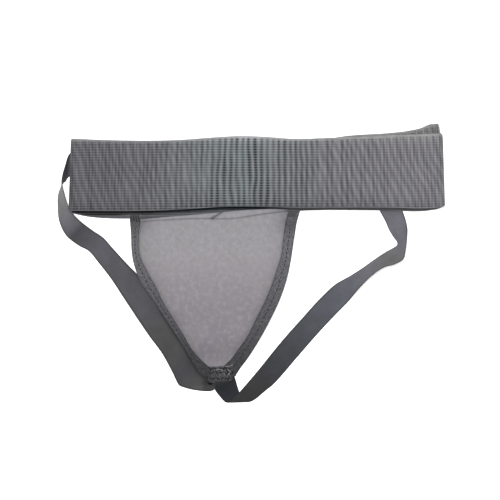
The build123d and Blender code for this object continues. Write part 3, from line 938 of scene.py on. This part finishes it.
RIGHT_STRAP = [
    (-45, -118, 0.6, -27, -104.5, 0.6), (-38.8, -133, 0.6, -18.2, -119.5, 0.6),
    (-33.7, -140, 0.7, -14.4, -131.5, 0.7), (-29.8, -144.4, 0.7, -11, -140, 0.8),
    (-27, -146.2, 1.5, -2.5, -145.4, 1.6), (-23, -144.8, 2.5, 3.4, -142.9, 2.4),
    (-15.5, -138, 2.3, 8.8, -138.6, 2.0), (-8, -129.6, 1.5, 14.2, -134, 1.2),
    (6, -113.2, 0.8, 23.8, -126, 0.8), (30.6, -82.8, 0.7, 49, -97, 0.7), (52.6, -58, 0.7, 70, -73, 0.7),
    (71.2, -37.6, 0.7, 87.4, -54.5, 0.7), (86.8, -23.2, 0.8, 100.5, -41, 3.0),
    (100.4, -15.4, 0.8, 111, -28.4, 13.5), (114, -6.8, 0.8, 123.5, -15.6, 17.5),
    (127, 2.4, 0.8, 137, -6, 17.5), (138, 9.8, 0.8, 149.5, -2.2, 16.5), (147, 14.8, 0.8, 158, 3.4, 16.5),
    (151, 17.6, 0.8, 160, 11.5, 18.5), (151, 21, 0.8, 161, 19.5, 19), (147.6, 25.5, 0.8, 161.6, 26, 16.5),
    (142.7, 33.3, 0.7, 162, 34, 10.5), (139, 42, 0.7, 160.6, 42.5, 4.5), (133.6, 52, 0.6, 157.6, 51.5, 1.2),
    (129, 62, 0.74, 153.5, 62, 0.74), (127.5, 86, 0.78, 151, 86, 0.78),
]


def strap_ripple(seed):
    """Slight lengthwise waves, which never press the strap below the table."""
    def swell(run, across):
        return 0.1 * np.abs(wander(run, across * 0.2, 16, seed))
    return swell


def left_strap_shade(x, y):
    """Painted shade where the strap runs under the binding, and lighter along its lower edge by the patch."""
    away = (side_edge(-1, np.clip(y, -122, -45)) - x) * 0.85
    contact = np.exp(-((np.clip(away, 0, 99) / 2.4) ** 2)) * smoothstep(-y, 45, 60)
    edge_band = smoothstep(-y, 129, 130.5) * smoothstep(x, -66, -58)
    return 1 - 0.5 * contact + 0.3 * edge_band


ribbon(
    "left_leg_strap_webbing", LEFT_STRAP, strap_ripple(31.0), left_strap_shade,
    material=LEFT_WEBBING, slot="strap_webbing", replaces=("left_leg_strap",),
)
ribbon(
    "right_leg_strap_webbing", RIGHT_STRAP, strap_ripple(47.0),
    material=RIGHT_WEBBING, slot="strap_webbing", replaces=("right_leg_strap",),
)

# ---------------------------------------------------------------- tip patch and seams


PATCH_LEVEL = 3.6
PATCH_CENTRE, PATCH_HALF = (-31.2, -117.2), (14.0, 9.0)


def patch_height(x, y):
    """Height of the patch above the tip's level: crowned and puckered."""
    ends = rounded(np.clip((x + 31.6) / 14.9, -1, 1), 4) * rounded(np.clip((y + 117.2) / 10.2, -1, 1), 4)
    puckers = 0.6 * wander(x, y, 4.5, 9.0) + 0.4 * wander(x, y, 2.2, 14.0)
    return PATCH_LEVEL * (0.35 + 0.65 * ends) + puckers * ends


def make_tip_patch():
    """Folded webbing over the ends of the bindings, with turned-under edges, puckered by its stitches."""
    u = np.linspace(-1, 1, 46)[None, :]
    v = np.linspace(-1, 1, 36)[:, None]
    bulge = 1.0 - 0.1 * np.abs(v) ** 3
    x = PATCH_CENTRE[0] + PATCH_HALF[0] * u * bulge + 1.2 * v * u - 0.8 * (1 - v)
    y = PATCH_CENTRE[1] + PATCH_HALF[1] * v + 1.4 * u - 0.9 * (1 - u**2) * v
    top = np.stack([x, y, TIP_LEVEL + patch_height(x, y)], axis=-1)
    bottom = np.stack([x, y, 0 * x + TIP_LEVEL + 0.25], axis=-1)
    return slab(
        "tip_patch_webbing", top, bottom, y, x,
        material=PATCH, slot="binding_elastic", replaces=("tip_patch",),
    )


def make_tip_tack():
    """Three uneven zigzag rows through the patch, loose loops of thread over it, and a dark blob of thread
    beside it that paints the shadow in the gap under the patch's corner.
    """
    spots = []
    for row, count, row_reach in ((-111.6, 9, 1.9), (-115.6, 8, 1.6), (-121.8, 7, 1.4)):
        for i in range(count):
            uneven = [noise.noise(Vector((i * 0.7, row, seed))) for seed in (3.0, 8.0, 12.0)]
            x = -44.5 + i * 24.5 / (count - 1) + 2.2 * uneven[1]
            flip = 1 if i % 2 else -1
            drift = 2.2 * uneven[0]
            reach = row_reach * (1 + 1.3 * uneven[2])
            start = np.array([x - 1.0, row + drift - reach * flip])
            end = np.array([x + 2.2, row - drift + reach * flip])
            ends = np.array([start, end])
            levels = TIP_LEVEL + patch_height(ends[:, 0], ends[:, 1]) + 0.3
            spots.append(((*start, levels[0]), (*end, levels[1])))
    stitches("tip_tack_stitches", spots, TIP_THREAD, ("tip_bar_tack",), radius=0.6)
    level = TIP_LEVEL + PATCH_LEVEL + 0.5
    loops = []
    for bend in (
        ((-38.6, -113.1), (-33.4, -111.8), (-29.6, -114.2), (-28.8, -118.6)),
        ((-28.3, -109.4), (-23, -108.8), (-19.8, -107.4)),
        ((-25.6, -112.4), (-22.4, -115), (-25.4, -118.2)),
    ):
        loops += [((*start, level), (*end, level)) for start, end in zip(bend, bend[1:])]
    stitches("tip_loose_threads", loops, LIGHT_THREAD, radius=0.5)
    # A dark blob of thread paints the shadow of the gap where the left strap passes under the patch
    shadow_blob = ((-46.6, -126.6, 4.8), (-42.2, -127.8, 4.8)), ((-45.4, -127.8, 4.7), (-41.4, -127.4, 4.9))
    stitches("tip_painted_shadow_blob", shadow_blob, SHADOW_BLOB_THREAD, radius=0.9)


def box_seam_spots(node, level):
    """Stitches round the edge of a CAD seam's box and across its diagonals."""
    low, high = node_box(node)
    corners = [(low[0], low[1]), (high[0], low[1]), (high[0], high[1]), (low[0], high[1])]
    runs = list(zip(corners, corners[1:] + corners[:1]))
    runs += [(corners[0], corners[2]), (corners[1], corners[3])]
    spots = []
    for (ax, ay), (bx, by) in runs:
        count = max(int(math.hypot(bx - ax, by - ay) / 3.4), 2)
        for i in range(count):
            a, b = (i + 0.12) / count, (i + 0.88) / count
            start = (ax + (bx - ax) * a, ay + (by - ay) * a, level)
            end = (ax + (bx - ax) * b, ay + (by - ay) * b, level)
            spots.append((start, end))
    return spots


def make_seams():
    """The threads of the hidden seams, inside the loop and on its underside."""
    for node in ("left_strap_box_seam", "right_strap_box_seam"):
        stitches(f"{node}_thread", box_seam_spots(node, INNER_FACE + 0.1), THREAD, (node,))
        stitches(f"{node}_under_thread", box_seam_spots(node, UNDER_THREADS), MID_THREAD)
    low, high = node_box("waistband_join_stitching")
    spots = []
    for x in (low[0] + 0.4, high[0] - 0.4):
        for y in np.arange(low[1], high[1], 4.2):
            spots.append(((x - 0.9, y, high[2] - 0.05), (x + 0.9, y + 3.6, high[2] - 0.05)))
    stitches("waistband_join_thread", spots, THREAD, ("waistband_join_stitching",))
    low, high = node_box("pouch_seam_stitching")
    inside, under = (
        [((x, low[1], level), (x + 3.2, low[1], level)) for x in np.arange(low[0], high[0], 4.4)]
        for level in (INNER_FACE + 0.1, UNDER_THREADS)
    )
    stitches("pouch_seam_thread", inside, THREAD, ("pouch_seam_stitching",))
    stitches("pouch_seam_under_thread", under, MID_THREAD)


make_tip_patch()
make_tip_tack()
make_seams()

# ---------------------------------------------------------------- cup: the CAD's own shape

for node, material in (("cup_shell", cup_plastic()), ("cup_rim", rim_rubber())):
    cad_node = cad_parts[node]
    cad_node.data.materials.clear()
    cad_node.data.materials.append(material)
